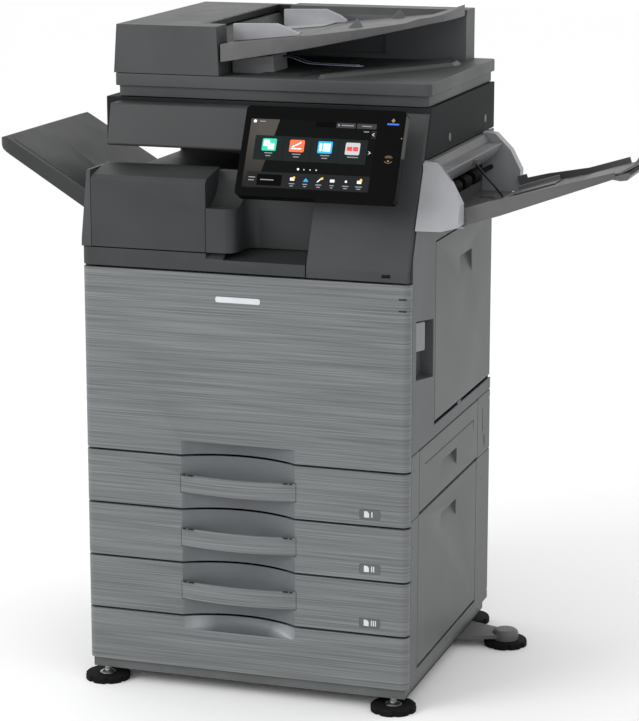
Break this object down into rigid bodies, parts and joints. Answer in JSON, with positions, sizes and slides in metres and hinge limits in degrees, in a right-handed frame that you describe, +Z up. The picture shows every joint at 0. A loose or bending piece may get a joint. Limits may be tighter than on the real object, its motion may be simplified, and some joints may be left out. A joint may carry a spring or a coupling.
{
  "type": "photocopier",
  "caption": "Floor-standing office photocopier with striped paper drawers, tilting touch panel, top document feeder, left exit tray and right bypass tray.",
  "frame": {"origin": "on the floor, at the centre of the whole machine's plan box (trays and outriggers included)", "axes": "+Z up, -Y towards the user at the front, +X towards the bypass tray side"},
  "size_m": [1.1262, 0.6078, 1.184],
  "materials": {
    "striped_grey": "fine horizontal brushed stripes, satin",
    "dark_plastic": "fine moulded grain",
    "side_grey": "fine moulded grain",
    "light_grey": "smooth moulded",
    "mid_grey": "smooth moulded",
    "black_gloss": "gloss",
    "black_plastic": "fine moulded grain",
    "zinc_steel": "zinc plated sheet",
    "glass": "clear float glass",
    "rubber": "matt",
    "drum_coat": "gloss coating",
    "fuser_sleeve": "smooth heat-proof sleeve"
  },
  "bodies": {
    "chassis": {"base_plinth": "side_grey", "levelling_feet": "rubber", "adjuster_stems": "zinc_steel", "outriggers": "mid_grey", "side_frames": "zinc_steel", "frame_rear_plate": "zinc_steel", "engine_frame": "zinc_steel", "bottom_front_panel": "striped_grey", "front_skirt": "dark_plastic", "left_front_cover": "dark_plastic", "exit_tray_floor": "dark_plastic", "fascia": "dark_plastic", "left_side_panel": "side_grey", "main_right_panel": "side_grey", "desk_right_panel": "side_grey", "rear_cover": "side_grey", "power_inlet": "black_plastic", "left_exit_tray": "dark_plastic", "scanner_base": "dark_plastic", "scanner_front_cover": "dark_plastic", "platen_glass": "glass", "panel_mount": "dark_plastic", "bypass_housing": "light_grey", "toner_cartridge": "black_plastic", "laser_unit": "black_plastic", "fuser_unit": "zinc_steel", "main_motor": "zinc_steel"},
    "front_door": {"front_door": "striped_grey"},
    "side_door": {"side_door": "side_grey"},
    "side_door_latch": {"side_door_latch": "light_grey"},
    "mid_side_door": {"mid_side_door": "side_grey"},
    "desk_side_door": {"desk_side_door": "side_grey"},
    "bypass_tray": {"bypass_tray": "mid_grey"},
    "bypass_extension": {"bypass_extension": "mid_grey"},
    "bypass_guide_front": {"bypass_guide_front": "black_plastic"},
    "bypass_guide_rear": {"bypass_guide_rear": "black_plastic"},
    "bypass_roller": {"bypass_roller": "rubber"},
    "feeder": {"platen_cover": "dark_plastic", "adf_body": "dark_plastic"},
    "feeder_top_cover": {"adf_top_cover": "dark_plastic"},
    "document_tray": {"document_tray": "mid_grey"},
    "document_guide_front": {"document_guide_front": "light_grey"},
    "document_guide_rear": {"document_guide_rear": "light_grey"},
    "touch_panel": {"op_panel": "black_gloss"},
    "scan_carriage": {"scan_carriage": "black_plastic"},
    "photo_drum": {"photo_drum": "drum_coat"},
    "fuser_roller": {"fuser_roller": "fuser_sleeve"},
    "pressure_roller": {"pressure_roller": "rubber"},
    "drawer_1": {"drawer_1_front": "striped_grey", "drawer_1_handle": "striped_grey", "drawer_1_bin": "black_plastic"},
    "drawer_1_lift_plate": {"drawer_1_lift_plate": "zinc_steel"},
    "drawer_2": {"drawer_2_front": "striped_grey", "drawer_2_handle": "striped_grey", "drawer_2_bin": "black_plastic"},
    "drawer_2_lift_plate": {"drawer_2_lift_plate": "zinc_steel"},
    "drawer_3": {"drawer_3_front": "striped_grey", "drawer_3_handle": "striped_grey", "drawer_3_bin": "black_plastic"},
    "drawer_3_lift_plate": {"drawer_3_lift_plate": "zinc_steel"}
  },
  "joints": [
    {"name": "front_door_hinge", "type": "hinge", "parent": "chassis", "child": "front_door", "pos_m": [-0.09006, -0.26009, 0.437], "axis": [1, 0, 0], "range_deg": [0, 85]},
    {"name": "drawer_1_slide", "type": "slide", "parent": "chassis", "child": "drawer_1", "axis": [0, -1, 0], "range_m": [0, 0.4]},
    {"name": "drawer_1_lift", "type": "hinge", "parent": "drawer_1", "child": "drawer_1_lift_plate", "pos_m": [-0.34306, -0.00209, 0.3458], "axis": [0, -1, 0], "range_deg": [0, 6]},
    {"name": "drawer_2_slide", "type": "slide", "parent": "chassis", "child": "drawer_2", "axis": [0, -1, 0], "range_m": [0, 0.4]},
    {"name": "drawer_2_lift", "type": "hinge", "parent": "drawer_2", "child": "drawer_2_lift_plate", "pos_m": [-0.34306, -0.00209, 0.2483], "axis": [0, -1, 0], "range_deg": [0, 6]},
    {"name": "drawer_3_slide", "type": "slide", "parent": "chassis", "child": "drawer_3", "axis": [0, -1, 0], "range_m": [0, 0.4]},
    {"name": "drawer_3_lift", "type": "hinge", "parent": "drawer_3", "child": "drawer_3_lift_plate", "pos_m": [-0.34306, -0.00209, 0.1508], "axis": [0, -1, 0], "range_deg": [0, 6]},
    {"name": "side_door_hinge", "type": "hinge", "parent": "chassis", "child": "side_door", "pos_m": [0.20894, 0.09091, 0.4915], "axis": [0, 1, 0], "range_deg": [0, 35]},
    {"name": "side_door_latch_pivot", "type": "hinge", "parent": "chassis", "child": "side_door_latch", "pos_m": [0.20894, -0.21609, 0.655], "axis": [0, 0, -1], "range_deg": [0, 30], "stiffness_Nm_per_rad": 0.6, "springref_deg": -5.73},
    {"name": "mid_side_door_hinge", "type": "hinge", "parent": "chassis", "child": "mid_side_door", "pos_m": [0.20894, 0.00191, 0.3505], "axis": [0, 1, 0], "range_deg": [0, 45]},
    {"name": "desk_side_door_hinge", "type": "hinge", "parent": "chassis", "child": "desk_side_door", "pos_m": [0.20894, -0.00409, 0.073], "axis": [0, 1, 0], "range_deg": [0, 45]},
    {"name": "bypass_tray_hinge", "type": "hinge", "parent": "chassis", "child": "bypass_tray", "pos_m": [0.28994, 0.00691, 0.854], "axis": [0, -1, 0], "range_deg": [0, 70]},
    {"name": "bypass_extension_slide", "type": "slide", "parent": "bypass_tray", "child": "bypass_extension", "axis": [0.9537, 0, 0.3007], "range_m": [-0.075, 0]},
    {"name": "bypass_guide_front_slide", "type": "slide", "parent": "bypass_tray", "child": "bypass_guide_front", "axis": [0, 1, 0], "range_m": [0, 0.06]},
    {"name": "bypass_guide_rear_slide", "type": "slide", "parent": "bypass_tray", "child": "bypass_guide_rear", "axis": [0, -1, 0], "range_m": [0, 0.06]},
    {"name": "bypass_roller_spin", "type": "hinge", "parent": "chassis", "child": "bypass_roller", "pos_m": [0.23294, 0.00691, 0.893], "axis": [0, 1, 0], "continuous": true},
    {"name": "feeder_hinge", "type": "hinge", "parent": "chassis", "child": "feeder", "pos_m": [-0.07306, 0.29391, 1.041], "axis": [-1, 0, 0], "range_deg": [0, 60]},
    {"name": "feeder_top_cover_hinge", "type": "hinge", "parent": "feeder", "child": "feeder_top_cover", "pos_m": [-0.36106, 0.07591, 1.082], "axis": [0, -1, 0], "range_deg": [0, 60]},
    {"name": "document_tray_hinge", "type": "hinge", "parent": "feeder", "child": "document_tray", "pos_m": [-0.16006, 0.06591, 1.132], "axis": [0, -1, 0], "range_deg": [0, 25]},
    {"name": "document_guide_front_slide", "type": "slide", "parent": "document_tray", "child": "document_guide_front", "axis": [0, 1, 0], "range_m": [0, 0.06]},
    {"name": "document_guide_rear_slide", "type": "slide", "parent": "document_tray", "child": "document_guide_rear", "axis": [0, -1, 0], "range_m": [0, 0.06]},
    {"name": "touch_panel_tilt", "type": "hinge", "parent": "chassis", "child": "touch_panel", "pos_m": [0.05894, -0.21609, 0.975], "axis": [1, 0, 0], "range_deg": [-20, 20]},
    {"name": "scan_carriage_travel", "type": "slide", "parent": "chassis", "child": "scan_carriage", "axis": [1, 0, 0], "range_m": [0, 0.37]},
    {"name": "photo_drum_spin", "type": "hinge", "parent": "chassis", "child": "photo_drum", "pos_m": [0.12594, 0.01091, 0.64], "axis": [0, 1, 0], "continuous": true},
    {"name": "fuser_roller_spin", "type": "hinge", "parent": "chassis", "child": "fuser_roller", "pos_m": [0.12594, 0.01091, 0.745], "axis": [0, 1, 0], "continuous": true},
    {"name": "pressure_roller_spin", "type": "hinge", "parent": "chassis", "child": "pressure_roller", "pos_m": [0.15494, 0.01091, 0.745], "axis": [0, 1, 0], "continuous": true}
  ],
  "couplings": [
    {"joint": "bypass_guide_rear_slide", "follows": "bypass_guide_front_slide", "ratio": 1},
    {"joint": "document_guide_rear_slide", "follows": "document_guide_front_slide", "ratio": 1},
    {"joint": "pressure_roller_spin", "follows": "fuser_roller_spin", "ratio": -1}
  ]
}
